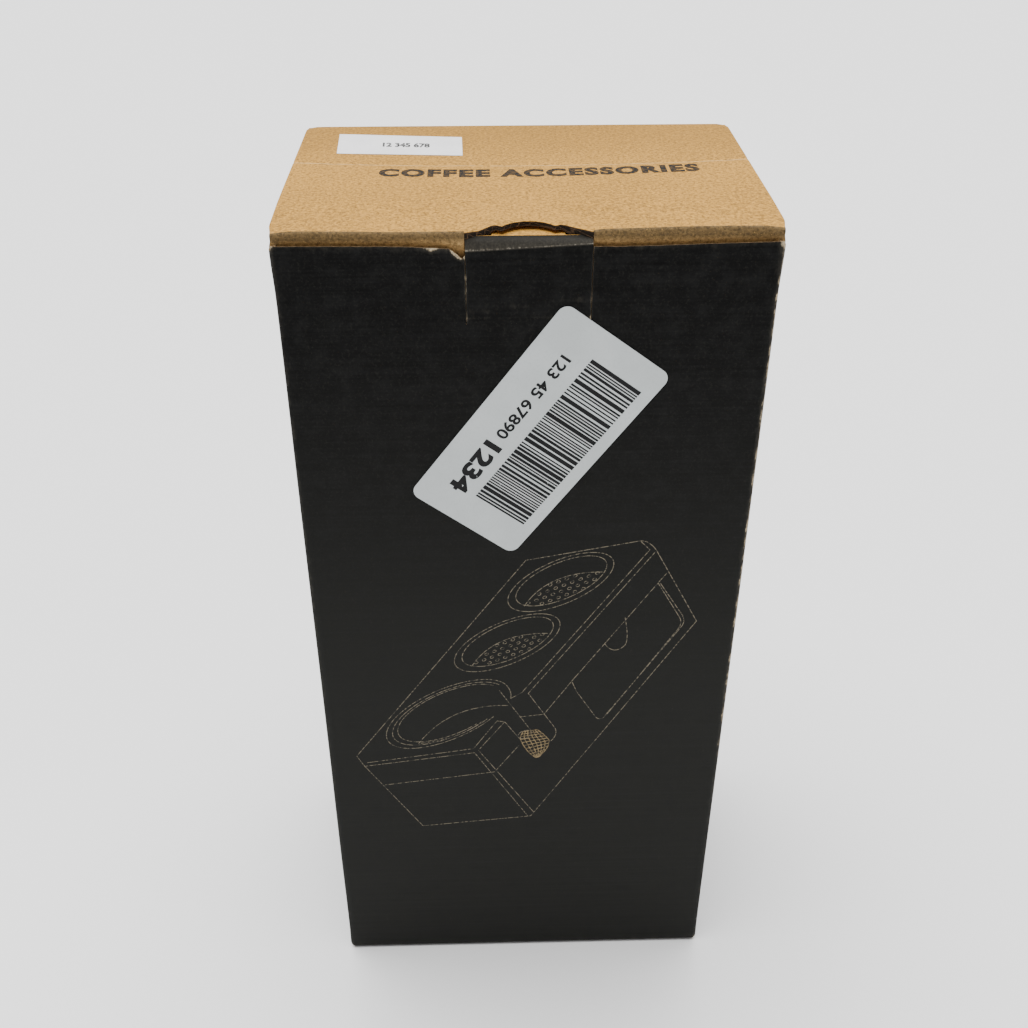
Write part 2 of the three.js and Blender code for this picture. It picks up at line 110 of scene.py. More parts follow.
def front_dent(x, z):
    """How far the front board is pushed in. Never negative, so nothing leaves the carton's box."""
    edge = blend_in(70 - abs(x), 0, 12) * blend_in(z, 0, 14)
    low_crease = 0.16 * bell(z - 201 - 0.012 * (x + 50), 1.1) * blend_in(-28 - x, 0, 8)
    sag = 0.22 * (0.5 + 0.5 * wobble(x, 0, z, 3.3, 0.014))
    flutes = 0.018 * (0.5 + 0.5 * math.sin(z * 2 * math.pi / FLUTE_PITCH + 0.6 * wobble(x, 0, z, 1.7, 0.05)))
    return edge * (low_crease + sag) + flutes * edge


def front_y(x, z):
    return -HALF_Y + front_dent(x, z)


def wall_dent(x, y, z):
    """How far the side and back walls are pushed in."""
    edge = blend_in(z, 0, 14) * blend_in(296 - z, 0, 20)
    return 0.3 * edge * (0.5 + 0.5 * wobble(x, y, z, 9.4, 0.016))


# ---- meshes --------------------------------------------------------------------------------------
def mesh_piece(name, points, faces, paints, materials, wear=None, depth=None):
    """One object. Each point keeps its place at rest, its wear, and its depth in the board."""
    mesh = bpy.data.meshes.new(name)
    used = sorted({i for f in faces for i in f})
    place = {old: new for new, old in enumerate(used)}
    points = np.asarray(points, float)[used]
    mesh.from_pydata((points * MM).tolist(), [], [[place[i] for i in f] for f in faces])
    for m in materials:
        mesh.materials.append(m)
    mesh.polygons.foreach_set("material_index", paints)
    rest = mesh.attributes.new("rest", "FLOAT_VECTOR", "POINT")
    rest.data.foreach_set("vector", points.astype(np.float32).ravel())
    for key, values in (("wear", wear), ("depth", depth)):
        layer = mesh.attributes.new(key, "FLOAT", "POINT")
        values = np.zeros(len(points)) if values is None else np.asarray(values, float).ravel()[used]
        layer.data.foreach_set("value", values.astype(np.float32))
    mesh.shade_smooth()
    mesh.set_sharp_from_angle(angle=math.radians(SHARP_ANGLE))
    mesh.update()
    obj = bpy.data.objects.new(name, mesh)
    bpy.context.scene.collection.objects.link(obj)
    return obj


def board(name, outer, inner, materials, keep=None, wrap=False, wear=None, flip=False, caps=False):
    """A sheet between two matching grids of points, with cut edges round its kept cells.

    The materials are for the outer face, the inner face and the cut edges. wrap joins the last column
    to the first, and caps closes the first row's two rings with a floor each.
    """
    outer, inner = np.asarray(outer, float), np.asarray(inner, float)
    rows, cols = outer.shape[:2]
    last = cols if wrap else cols - 1
    if keep is None:
        keep = np.ones((rows - 1, last), bool)
    faces, paints = [], []

    def o(r, c):
        return r * cols + c % cols

    def i(r, c):
        return rows * cols + o(r, c)

    def put(corners, paint):
        faces.append(corners[::-1] if flip else corners)
        paints.append(paint)

    for r in range(rows - 1):
        for c in range(last):
            if not keep[r, c]:
                continue
            put((o(r, c), o(r, c + 1), o(r + 1, c + 1), o(r + 1, c)), 0)
            put((i(r + 1, c), i(r + 1, c + 1), i(r, c + 1), i(r, c)), 1)
            around = (((-1, 0), (r, c), (r, c + 1)), ((0, 1), (r, c + 1), (r + 1, c + 1)),
                      ((1, 0), (r + 1, c + 1), (r + 1, c)), ((0, -1), (r + 1, c), (r, c)))
            for (dr, dc), p, q in around:
                rr, cc = r + dr, c + dc
                if wrap:
                    cc %= cols
                outside = rr < 0 or rr >= rows - 1 or cc < 0 or cc >= last
                if caps and rr < 0:
                    continue
                if outside or not keep[rr, cc]:
                    put((o(*q), o(*p), i(*p), i(*q)), 2)
    if caps:
        put(tuple(o(0, c) for c in range(cols))[::-1], 0)
        put(tuple(i(0, c) for c in range(cols)), 1)
    points = np.concatenate([outer.reshape(-1, 3), inner.reshape(-1, 3)])
    depth = np.concatenate([np.zeros(rows * cols), np.ones(rows * cols)])
    both = None if wear is None else np.concatenate([np.ravel(wear), np.zeros(rows * cols)])
    return mesh_piece(name, points, faces, paints, materials, both, depth)


def span(*stops, step=2.2):
    """Numbers running through the stops, evenly spaced between each two, none further apart than step."""
    found = [stops[0]]
    for a, b in zip(stops, stops[1:]):
        count = max(1, math.ceil(abs(b - a) / step))
        found += [a + (b - a) * k / count for k in range(1, count + 1)]
    return found


# ---- materials -----------------------------------------------------------------------------------
def shade(tone, share):
    return tuple(v * share for v in tone)


class Paint:
    """One procedural material, and short names for the nodes it is made of."""

    def __init__(self, name, own=True):
        self.material = bpy.data.materials.new(name)
        self.material.use_nodes = True
        self.tree = self.material.node_tree
        self.shader = self.tree.nodes["Principled BSDF"]
        if own:  # own pieces keep their place at rest, which the pattern follows
            self.at = self.node("ShaderNodeAttribute", attribute_name="rest").outputs["Vector"]
        else:
            place = self.node("ShaderNodeTexCoord").outputs["Object"]
            scaled = self.node("ShaderNodeVectorMath", {0: place, "Scale": 1 / MM}, operation="SCALE")
            self.at = scaled.outputs[0]

    def node(self, kind, inputs=None, **settings):
        made = self.tree.nodes.new(kind)
        for key, value in settings.items():
            setattr(made, key, value)
        for key, value in (inputs or {}).items():
            if isinstance(value, bpy.types.NodeSocket):
                self.tree.links.new(value, made.inputs[key])
            else:
                made.inputs[key].default_value = value
        return made

    def maths(self, operation, a, b=0.0):
        return self.node("ShaderNodeMath", {0: a, 1: b}, operation=operation).outputs[0]

    def ramp(self, value, low, high, start=0.0, end=1.0):
        inputs = {"Value": value, "From Min": low, "From Max": high, "To Min": start, "To Max": end}
        return self.node("ShaderNodeMapRange", inputs, interpolation_type="SMOOTHSTEP").outputs[0]

    def mix(self, factor, a, b, kind="MIX"):
        a, b = [(*v, 1.0) if isinstance(v, tuple) else v for v in (a, b)]
        made = self.node("ShaderNodeMix", {0: factor, 6: a, 7: b}, data_type="RGBA", blend_type=kind)
        return made.outputs[2]

    def over(self, under, tone, mask, share):
        """A share of tone laid over what is under it, where mask is 1."""
        return self.mix(self.maths("MULTIPLY", mask, share), under, tone)

    def stretched(self, x, y, z):
        made = self.node("ShaderNodeVectorMath", {0: self.at, 1: (x, y, z)}, operation="MULTIPLY")
        return made.outputs[0]

    def cloud(self, scale, detail=3.0, at=None, roughness=0.55):
        inputs = {"Vector": at or self.at, "Scale": scale, "Detail": detail, "Roughness": roughness}
        return self.node("ShaderNodeTexNoise", inputs).outputs[0]

    def attribute(self, name):
        return self.node("ShaderNodeAttribute", attribute_name=name).outputs["Fac"]

    def axis(self, name):
        return self.node("ShaderNodeSeparateXYZ", {0: self.at}).outputs[name]

    def bump(self, height, strength, distance_mm):
        inputs = {"Height": height, "Strength": strength, "Distance": distance_mm * MM}
        earlier = self.shader.inputs["Normal"]
        if earlier.is_linked:
            inputs["Normal"] = earlier.links[0].from_socket
        made = self.node("ShaderNodeBump", inputs)
        self.tree.links.new(made.outputs[0], earlier)

    def set(self, **values):
        for key, value in values.items():
            socket = self.shader.inputs[key.replace("_", " ")]
            if isinstance(value, bpy.types.NodeSocket):
                self.tree.links.new(value, socket)
            else:
                socket.default_value = (*value, 1.0) if isinstance(value, tuple) else value


KRAFT = (0.465, 0.240, 0.043)
KRAFT_PALE = (0.58, 0.34, 0.11)
STRIP_LOW, STRIP_SHADE_TOP = (0.405, 0.252, 0.097), (0.128, 0.080, 0.030)  # the lid's front strip, by height: its kraft low down, and painted shade towards its top
SCUFF = (0.50, 0.40, 0.26)
CREASE_TONE = (0.70, 0.48, 0.22)
CREASE_Y, CREASE_BOW = 5.0, 0.00092  # the lid's crease: its place at the middle and its curve
INK = (0.0066, 0.0067, 0.0064)


def kraft_colour(p, base=KRAFT):
    """Plain liner: soft clouds, long fibres and dark and pale flecks."""
    deep = shade(base, 0.84)
    pale = tuple(min(1.0, v * 1.42) for v in base)
    clouds = p.ramp(p.cloud(0.035, 4.0), 0.3, 0.7)
    colour = p.mix(clouds, deep, base)
    fibres = p.ramp(p.cloud(1.3, 5.0, p.stretched(0.8, 1.1, 1.1), 0.7), 0.46, 0.58)
    colour = p.over(colour, pale, fibres, 0.80)
    grain = p.ramp(p.cloud(1.05, 5.0, None, 0.75), 0.48, 0.60)
    colour = p.over(colour, shade(base, 0.44), grain, 0.80)
    flecks = p.ramp(p.cloud(1.7, 2.0), 0.66, 0.74)
    colour = p.over(colour, shade(base, 0.55), flecks, 0.45)
    specks = p.ramp(p.cloud(2.6, 1.0, p.stretched(1.0, 0.6, 0.6)), 0.70, 0.76)
    return p.over(colour, KRAFT_PALE, specks, 0.5)


def lid_crease(p):
    """1 on the thin pale line where the lid was once bent across, 0 away from it."""
    x, y = p.axis("X"), p.axis("Y")
    line = p.maths("ADD", p.maths("MULTIPLY", p.maths("MULTIPLY", x, x), CREASE_BOW), CREASE_Y)
    strayed = p.maths("MULTIPLY", p.maths("SUBTRACT", p.cloud(0.08, 3.0), 0.5), 1.6)
    away = p.maths("ABSOLUTE", p.maths("SUBTRACT", p.maths("SUBTRACT", y, line), strayed))
    broken = p.ramp(p.cloud(0.5, 4.0), 0.30, 0.50)
    return p.maths("MULTIPLY", p.ramp(away, 0.12, 0.50, 1.0, 0.0), broken)


def kraft_paint(name="kraft", base=KRAFT, own=True, creased=False, painted_shade_top=False):
    """Plain board. creased adds the bend across the lid; the shade flag darkens the board towards its top
    with painted shade.
    """
    p = Paint(name, own)
    colour = kraft_colour(p, base)
    if creased:
        back = p.ramp(p.axis("Y"), -5.0, 48.0)  # the back of the lid is a little darker
        colour = p.over(colour, shade(base, 0.45), back, 0.40)
        colour = p.over(colour, CREASE_TONE, lid_crease(p), 0.45)
    if painted_shade_top:
        # painted shade: the board turns to a dark kraft towards its top
        colour = p.mix(p.ramp(p.axis("Z"), 294.8, 297.4), colour, kraft_colour(p, STRIP_SHADE_TOP))
    if own:
        rubbed = p.ramp(p.maths("ADD", p.attribute("wear"), p.cloud(0.9, 4.0)), 0.75, 1.15)
        colour = p.over(colour, KRAFT_PALE, rubbed, 0.75)
    flutes = p.maths("MULTIPLY", p.maths("ADD", p.axis("Y"), p.axis("Z")), 2 * math.pi / FLUTE_PITCH)
    p.set(Base_Color=colour, Roughness=p.ramp(p.cloud(0.8), 0.3, 0.7, 0.78, 0.93), Specular_IOR_Level=0.28)
    p.bump(p.maths("SINE", flutes), 0.30, 0.05)
    p.bump(p.cloud(0.11, 4.0), 0.35, 0.6)
    p.bump(p.cloud(2.4, 4.0, p.stretched(0.5, 1.2, 1.2)), 0.35, 0.06)
    return p.material


def printed_paint(name="printed", rubbed=0.0, grain=0.75, bare=SCUFF):
    """Black flexo print: thin streaks along the flutes, rubbed through to kraft on the folds."""
    p = Paint(name)
    streaks = p.cloud(1.0, 5.0, p.stretched(0.018, 0.018, 1.1), 0.6)
    ink = p.mix(p.ramp(streaks, 0.38, 0.68), shade(INK, 0.86), shade(INK, 1.10))
    sheen_by_height = p.ramp(p.axis("Z"), 300.0, 120.0)  # painted sheen and shade: the ink is lighter towards the bottom and darker towards the top
    ink_shaded_top = p.mix(1.0, ink, (0.16, 0.16, 0.16), "MULTIPLY")
    ink_sheen_low = p.mix(1.0, ink, (2.0, 2.0, 1.84), "MULTIPLY")
    ink = p.mix(sheen_by_height, ink_shaded_top, ink_sheen_low)
    mottle = p.ramp(p.cloud(0.16, 6.0, None, 0.7), 0.42, 0.66)
    ink = p.over(ink, shade(INK, 1.6), mottle, 0.40)
    fine = p.ramp(p.cloud(1.1, 5.0, None, 0.8), 0.50, 0.66)
    ink = p.over(ink, tuple(v * f for v, f in zip(INK, (2.3, 2.2, 1.9))), fine, 0.50)
    pinholes = p.ramp(p.cloud(1.9, 2.0), 0.71, 0.77)
    ink = p.over(ink, shade(KRAFT, 0.10), pinholes, 0.30)
    patches = p.maths("MULTIPLY", p.cloud(grain, 6.0, p.stretched(1, 1, 0.45)), 0.9)
    torn = p.maths("ADD", p.attribute("wear"), patches)
    ink = p.mix(p.ramp(torn, 0.93, 1.16), ink, kraft_colour(p, bare))
    ink = p.mix(p.ramp(torn, 0.55, 1.10, rubbed, rubbed + 0.20), ink, (0.13, 0.115, 0.09))
    flutes = p.maths("MULTIPLY", p.axis("Z"), 2 * math.pi / FLUTE_PITCH)
    p.set(Base_Color=ink, Roughness=p.ramp(streaks, 0.3, 0.7, 0.62, 0.80), Specular_IOR_Level=0.10)
    p.bump(p.maths("SINE", flutes), 0.10, 0.05)
    p.bump(streaks, 0.12, 0.06)
    p.bump(p.cloud(2.2, 4.0), 0.30, 0.05)
    return p.material


def edge_paint(name="board_edge", paper_tone=(0.40, 0.265, 0.135), gap_shade=(0.070, 0.040, 0.018)):
    """A cut edge: two liners with the flute's wave between them, and painted shade in the hollow gaps."""
    p = Paint(name)
    depth = p.attribute("depth")
    along = p.maths("ADD", p.maths("ADD", p.axis("X"), p.axis("Y")), p.axis("Z"))
    wave = p.maths("SINE", p.maths("MULTIPLY", along, 2 * math.pi / FLUTE_PITCH))
    centre = p.maths("ADD", p.maths("MULTIPLY", wave, 0.30), 0.5)
    off_wave = p.maths("ABSOLUTE", p.maths("SUBTRACT", depth, centre))
    flute = p.ramp(off_wave, 0.05, 0.16, 1.0, 0.0)
    from_middle = p.maths("ABSOLUTE", p.maths("SUBTRACT", depth, 0.5))
    liners = p.ramp(from_middle, 0.30, 0.42)
    paper = p.maths("MAXIMUM", flute, liners)
    # the gaps between the papers get a dark tone: painted shade
    colour = p.mix(paper, gap_shade, kraft_colour(p, paper_tone))
    p.set(Base_Color=colour, Roughness=0.92, Specular_IOR_Level=0.2)
    p.bump(paper, 0.6, 0.25)
    return p.material


def label_paint(name, tone, gloss=0.42):
    p = Paint(name)
    soft = shade(tone, 0.91)
    colour = p.mix(p.ramp(p.cloud(0.06, 3.0), 0.35, 0.7), soft, tone)
    flecks = p.ramp(p.cloud(1.2, 4.0, None, 0.7), 0.50, 0.66)
    colour = p.over(colour, shade(tone, 0.80), flecks, 0.35)
    sheen = p.ramp(p.cloud(0.5), 0.3, 0.7, gloss, gloss + 0.14)
    p.set(Base_Color=colour, Roughness=sheen, Specular_IOR_Level=0.45)
    p.bump(p.cloud(0.30, 3.0), 0.15, 0.10)
    p.bump(p.cloud(5.0, 2.0), 0.10, 0.02)
    return p.material


def ink_paint(name, tone, patchy=0.0, base=KRAFT):
    """Printed letters, bars and lines. Patchy ink lets some of what is under it show through."""
    p = Paint(name)
    gaps = p.ramp(p.cloud(0.9, 3.0), 0.45, 0.57)
    colour = p.over(tone, base, gaps, patchy)
    p.set(Base_Color=colour, Roughness=0.75, Specular_IOR_Level=0.25)
    return p.material


def pulp_paint():
    p = Paint("moulded_pulp", own=False)
    colour = p.mix(p.ramp(p.cloud(0.12, 6.0), 0.3, 0.7), (0.40, 0.36, 0.29), (0.53, 0.49, 0.41))
    fibres = p.ramp(p.cloud(1.3, 3.0), 0.62, 0.72)
    colour = p.over(colour, (0.24, 0.21, 0.17), fibres, 0.5)
    p.set(Base_Color=colour, Roughness=0.95, Specular_IOR_Level=0.15)
    p.bump(p.cloud(0.35, 6.0), 0.7, 0.8)
    p.bump(p.cloud(2.5, 3.0), 0.4, 0.2)
    return p.material


def walnut_paint():
    """Oiled walnut with its grain along the station, which stands upright in the carton."""
    p = Paint("walnut", own=False)
    bent = p.cloud(0.02, 3.0, p.stretched(1.0, 1.0, 0.2))
    rings = p.cloud(1.0, 5.0, p.stretched(0.16, 0.16, 0.010), 0.62)
    grain = p.ramp(p.maths("ADD", rings, p.maths("MULTIPLY", bent, 0.25)), 0.45, 0.78)
    colour = p.mix(grain, (0.155, 0.075, 0.036), (0.050, 0.022, 0.011))
    pores = p.ramp(p.cloud(1.0, 3.0, p.stretched(2.6, 2.6, 0.11)), 0.60, 0.72)
    colour = p.over(colour, (0.020, 0.009, 0.005), pores, 0.6)
    p.set(Base_Color=colour, Roughness=p.ramp(grain, 0, 1, 0.42, 0.56), Specular_IOR_Level=0.4)
    p.bump(pores, 0.35, 0.12)
    return p.material


def silicone_paint():
    p = Paint("silicone", own=False)
    colour = p.mix(p.ramp(p.cloud(0.25, 4.0), 0.35, 0.7), (0.014, 0.014, 0.015), (0.026, 0.026, 0.027))
    p.set(Base_Color=colour, Roughness=p.ramp(p.cloud(0.7), 0.3, 0.7, 0.50, 0.68), Specular_IOR_Level=0.4)
    p.bump(p.cloud(4.0, 3.0), 0.2, 0.04)
    return p.material


def steel_paint():
    p = Paint("steel", own=False)
    brushed = p.cloud(1.0, 4.0, p.stretched(6.0, 6.0, 0.15))
    colour = p.mix(p.ramp(brushed, 0.35, 0.7), (0.48, 0.48, 0.48), (0.66, 0.66, 0.65))
    p.set(Base_Color=colour, Metallic=1.0, Roughness=p.ramp(brushed, 0.3, 0.7, 0.26, 0.40))
    p.bump(brushed, 0.12, 0.02)
    return p.material


printed = printed_paint()
rubbed_print = printed_paint("rubbed_print", rubbed=0.13, grain=1.9, bare=(0.20, 0.18, 0.145))
kraft = kraft_paint()
# the lid's front strip and the dust flaps, with painted shade towards their top
kraft_strip = kraft_paint("kraft_strip", STRIP_LOW, painted_shade_top=True)
lid_kraft = kraft_paint("lid_kraft", creased=True)
edge = edge_paint()
# the lid's cut edges round the notch: both tones are painted shade, for edges that face forward and down
painted_shade_edge = edge_paint("lid_edge_painted_shade", (0.066, 0.038, 0.020), (0.012, 0.008, 0.005))
BOARD_PAINTS = [printed, kraft, edge]


# ---- walls ---------------------------------------------------------------------------------------
def perimeter():
    """Stations round the carton from the front left fold: (x, y, outward x, outward y)."""
    flat_x, flat_y = HALF_X - FOLD_RADIUS, HALF_Y - FOLD_RADIUS
    near = 1.2  # a narrow column beside each fold
    cut = 0.3  # and beside each side of the tab
    steps_x = span(-flat_x, -flat_x + near, -30, -24, -21.6, -20.6, -20.0, -19.2, -18.6, -18.0,
                   SLOT_LEFT - cut, SLOT_LEFT, SLOT_RIGHT, SLOT_RIGHT + cut, 26, flat_x - near, flat_x)
    steps_y = span(-flat_y, -flat_y + near, flat_y - near, flat_y)
    back_x = span(flat_x, flat_x - near, -flat_x + near, -flat_x)
    found = []

    def fold(cx, cy, start):
        for k in range(1, 6):
            a = start + math.pi / 2 * k / 6
            nx, ny = math.cos(a), math.sin(a)
            found.append((cx + FOLD_RADIUS * nx, cy + FOLD_RADIUS * ny, nx, ny))

    found += [(x, -HALF_Y, 0, -1) for x in steps_x]
    fold(flat_x, -flat_y, -math.pi / 2)
    found += [(HALF_X, y, 1, 0) for y in steps_y]
    fold(flat_x, flat_y, 0)
    found += [(x, HALF_Y, 0, 1) for x in back_x]
    fold(-flat_x, flat_y, math.pi / 2)
    found += [(-HALF_X, y, -1, 0) for y in reversed(steps_y)]
    fold(-flat_x, -flat_y, math.pi)
    return found


def wall_top(x, y, nx, ny):
    """Where a wall ends and its flap begins."""
    if ny < -0.5:
        return rim_z(x)
    return BACK_RIM_Z if ny > 0.5 else SIDE_RIM_Z


def fold_wear(x, y, z, nx, ny):
    """How rubbed the print is: most on the front right fold, some on the other folds and at the foot."""
    corner = bell(math.hypot(HALF_X - abs(x), HALF_Y - abs(y)), 1.3)
    side = 0.84 if x > 0 else 0.46
    if y > 0:
        side = 0.45
    upper = blend_in(z, 40, 150)
    foot = 0.36 * bell(z - 0.5, 2.0)
    below_rim = wall_top(x, y, nx, ny) - z
    rim = 0.30 * bell(below_rim, 0.9)
    slot = 0.0
    if y < 1 - HALF_Y and z > CREASE_Z - 0.5:
        slot = 0.46 * bell(min(abs(x - SLOT_LEFT), abs(x - SLOT_RIGHT)), 0.25)
        torn_corner = 0.75 * bell(below_rim, 0.8) * bell(x + 19.6, 1.7)
        torn_edge = 0.40 * bell(below_rim, 0.6) * bell(x + 26, 3.0)
        rim += torn_corner + torn_edge
    return corner * side * (0.55 + 0.45 * upper) + foot + rim + slot


def build_sleeve():
    """The four walls and the outer bottom flap as one sheet, with the tab's slot left open."""
    ring = perimeter()
    low = [(a, FOOT_RADIUS * (1 - math.sin(a)), FOOT_RADIUS * (1 - math.cos(a)))
           for a in (math.pi / 2 * k / 5 for k in range(5, 0, -1))]
    middle = span(FOOT_RADIUS, 120, 196, 206, WINDOW_Z)
    upper = [k / 10 for k in range(1, 11)]
    outer, inner, wear = [], [], []

    def add_row(height, inset, under):
        row_out, row_in, row_wear = [], [], []
        for x, y, nx, ny in ring:
            z = height(x, y, nx, ny)
            if abs(ny) > 0.99 and y < 0:
                dent = front_dent(x, z)
            else:
                dent = wall_dent(x, y, z) * blend_in(abs(nx * nx - ny * ny), 0.2, 0.99)
            flare = 0.29 * blend_in(z, 280, 294) if abs(nx) > 0.3 and y < 40 else 0.0
            shift = inset + dent - flare * abs(nx)
            out = (x - nx * shift, y - ny * shift, z)
            row_out.append(out)
            thick = max(BOARD - inset, 0.25)
            crushed = 0.55 * blend_in(z, rim_z(x) - 0.6, rim_z(x) - 0.1) if ny < -0.99 else 0.0
            row_in.append((out[0] - nx * thick, out[1] - ny * thick, max(z - crushed, under)))
            row_wear.append(fold_wear(x, y, z, nx, ny))
        outer.append(row_out)
        inner.append(row_in)
        wear.append(row_wear)

    for a, z, inset in low:
        add_row(lambda *_: z, inset, BOARD)
    for z in middle:
        add_row(lambda *_: z, 0.0, BOARD + 0.05)
    for t in upper:
        add_row(lambda *place: WINDOW_Z + (wall_top(*place) - WINDOW_Z) * t, 0.0, 0.0)
    rows = len(outer)
    slot = [SLOT_LEFT - 0.01 < x < SLOT_RIGHT - 0.01 and ny < -0.99 for x, y, nx, ny in ring]
    keep = np.ones((rows - 1, len(ring)), bool)
    keep[rows - 1 - len(upper):, :] = ~np.array(slot)
    sleeve = board("carton_sleeve", outer, inner, BOARD_PAINTS, keep, wrap=True, wear=wear, caps=True)
    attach(sleeve, "carton")
    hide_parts("front_panel", "back_panel", "left_panel", "right_panel", "bottom_outer_flap")


# ---- lock tab, folded over the front wall's edge, with its tongue under the lid ---------------------
TAB_TOP_Z = 296.75
TONGUE_Z = 297.2
FOLD_RUB = [0.60, 0.38, 0.30, 0.24, 0.16, 0.08]  # from the fold's lower edge back to the lid


def tab_fold_z(x):
    """The tab's fold, higher at its right."""
    return 294.8 + 0.052 * x


def tab_wrinkle_z(x):
    """A second, slanted crease just above the one that the tab bends at."""
    return 277.9 + 0.115 * x


def tab_dent(x, z):
    creases = bell(z - CREASE_Z, 0.7) + bell(z - tab_wrinkle_z(x), 0.6)
    return front_dent(x, z) + 0.10 * creases


def build_tab():
    face = span(WINDOW_Z, CREASE_Z - 0.9, CREASE_Z, CREASE_Z + 0.9, 277.6, 279.4, 292.8, step=1.8)
    shares = span(-1, -0.975, 0.975, 1, step=0.09)
    xs = [(TAB_LEFT + TAB_RIGHT) / 2 + s * (TAB_RIGHT - TAB_LEFT) / 2 for s in shares]
    bend = [(0.0, 0.0), (0.22, 0.42), (0.62, 1.05), (1.10, 1.62), (1.68, 2.08), (2.35, 2.36)]
    last, full_rise = len(bend) - 1, bend[-1][1]
    outer, inner, wear = [], [], []
    for z in face:
        outer.append([(x, -HALF_Y + tab_dent(x, z), z) for x in xs])
        inner.append([(x, -HALF_Y + tab_dent(x, z) + BOARD, z) for x in xs])
        wear.append([0.22 * bell(z - CREASE_Z, 0.6) + 0.26 * bell(z - tab_wrinkle_z(x), 0.6)
                     + 0.50 * bell(min(x - TAB_LEFT, TAB_RIGHT - x), 0.25) for x in xs])
    # a last row of the face just under the fold
    outer.append([(x, -HALF_Y + tab_dent(x, tab_fold_z(x)), tab_fold_z(x) - 0.4) for x in xs])
    inner.append([(x, -HALF_Y + tab_dent(x, tab_fold_z(x)) + BOARD, tab_fold_z(x) - 0.4) for x in xs])
    wear.append([0.06] * len(xs))
    for k, (back, rise) in enumerate(bend):
        row_out, row_in, row_wear = [], [], []
        for x in xs:
            base = tab_fold_z(x)
            y = -HALF_Y + tab_dent(x, base) * (1 - k / last) + back
            z = base + rise * (TAB_TOP_Z - base) / full_rise
            lean = math.radians(15 + 75 * k / last)
            row_out.append((x, y, z))
            row_in.append((x, y + BOARD * math.cos(lean), z - BOARD * math.sin(lean)))
            row_wear.append(FOLD_RUB[k] + 0.12 * bell(min(x - TAB_LEFT, TAB_RIGHT - x), 0.5))
        outer.append(row_out)
        inner.append(row_in)
        wear.append(row_wear)
    # Under the lid: the neck runs back through its slit, and the barbs hold it there.
    tongue = [(-47.2, 16.2), (-46.9, 10.0), (-43.2, 10.0), (-42.9, 15.0), (-39.9, 15.0), (-36.1, 11.2)]
    for y, half in tongue:
        outer.append([(s * half, y, TONGUE_Z) for s in shares])
        inner.append([(s * half, y, TONGUE_Z - BOARD) for s in shares])
        wear.append([0.0] * len(shares))
    tab = board("lock_tab_board", outer, inner, [printed, kraft, edge, kraft, rubbed_print], wear=wear)
    # The outer face's cells come row by row: print, the rubbed fold, and bare kraft on the tongue.
    first_rubbed_row, first_kraft_row = len(face), len(face) + len(bend) + 1
    cells = len(shares) - 1
    number = 0
    for polygon in tab.data.polygons:
        if polygon.material_index == 0:
            if number // cells >= first_kraft_row:
                polygon.material_index = 3
            elif number // cells >= first_rubbed_row:
                polygon.material_index = 4
            number += 1
    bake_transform(tab)
    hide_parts("lock_tab", "lock_tongue")


# ---- lid -----------------------------------------------------------------------------------------
CORNER_IN = 0.6  # how far the lid's front corners are drawn in
EAR_X = 17.6  # the notch's two ends
ARCH_X, ARCH_Y, ARCH_DEPTH = 7.4, -42.7, 3.9  # the thumb arch: half width, furthest back and depth
NOTCH = [(-EAR_X, -48.3), (-16.6, -47.9), (-13.5, -46.9), (-10.6, -46.0), (-8.9, -45.6), (-8.2, -45.9),
         (-ARCH_X, -46.6)]


def notch_y(x):
    """The lid's front edge between its two ears: a shallow rise on each side and a thumb arch."""
    if abs(x) < ARCH_X:
        centre = 0.2
        t = min(1.0, abs(x - centre) / ARCH_X)
        return ARCH_Y - ARCH_DEPTH * t ** 2.3
    xs, ys = zip(*NOTCH)
    return float(np.interp(-abs(x), xs, ys)) + (0.25 if x > 0 else 0.0) * bell(abs(x) - 8.5, 3)


def lid_crease_y(x):
    """Where the lid was once bent across."""
    return CREASE_Y + CREASE_BOW * x * x


def front_sag(x, y):
    """The lid sinks a little along its front edge, most beside the notch."""
    xs = [-70, -49, -36, -13.5, -9.8, 9.5, 14, EAR_X, 20, 33, 46, 70]
    drops = [0.55, 0.85, 1.15, 1.1, 0.0, 0.1, 0.7, 1.1, 0.8, 0.55, 0.3, 0.3]
    return float(np.interp(x, xs, drops)) * blend_in(-y, 24, 46)


def ear_split(x, y):
    """Beside the arch the liners have come apart, so the cut edge is thicker."""
    near_notch = blend_in(abs(x), 8.6, 11.0) * (1 - blend_in(abs(x), EAR_X, 18.4))
    return near_notch * blend_in(-y, 44, 46.5)


def lid_z(x, y):
    """The lid's upper face."""
    crease = 0.20 * bell(y - lid_crease_y(x), 1.0)
    waves = 0.16 * (0.5 + 0.5 * wobble(x, y, 0, 5.2, 0.02))
    corner = 0.9 * bell(math.hypot(LID_HALF_X - abs(x), HALF_Y - abs(y)), 4.0)
    return TOP_Z - 0.02 - crease - waves - corner - front_sag(x, y)


def lid_half(y):
    """Half the lid's width: its back corners are rounded and its front ones drawn in."""
    rounding = 5.4
    back = min(1.0, max(0.0, (y - HALF_Y + rounding) / rounding))
    front = CORNER_IN * bell(y - LID_FRONT_Y, 2.5)
    return LID_HALF_X - front - FOLD_RADIUS * (1 - math.sqrt(1 - back * back))


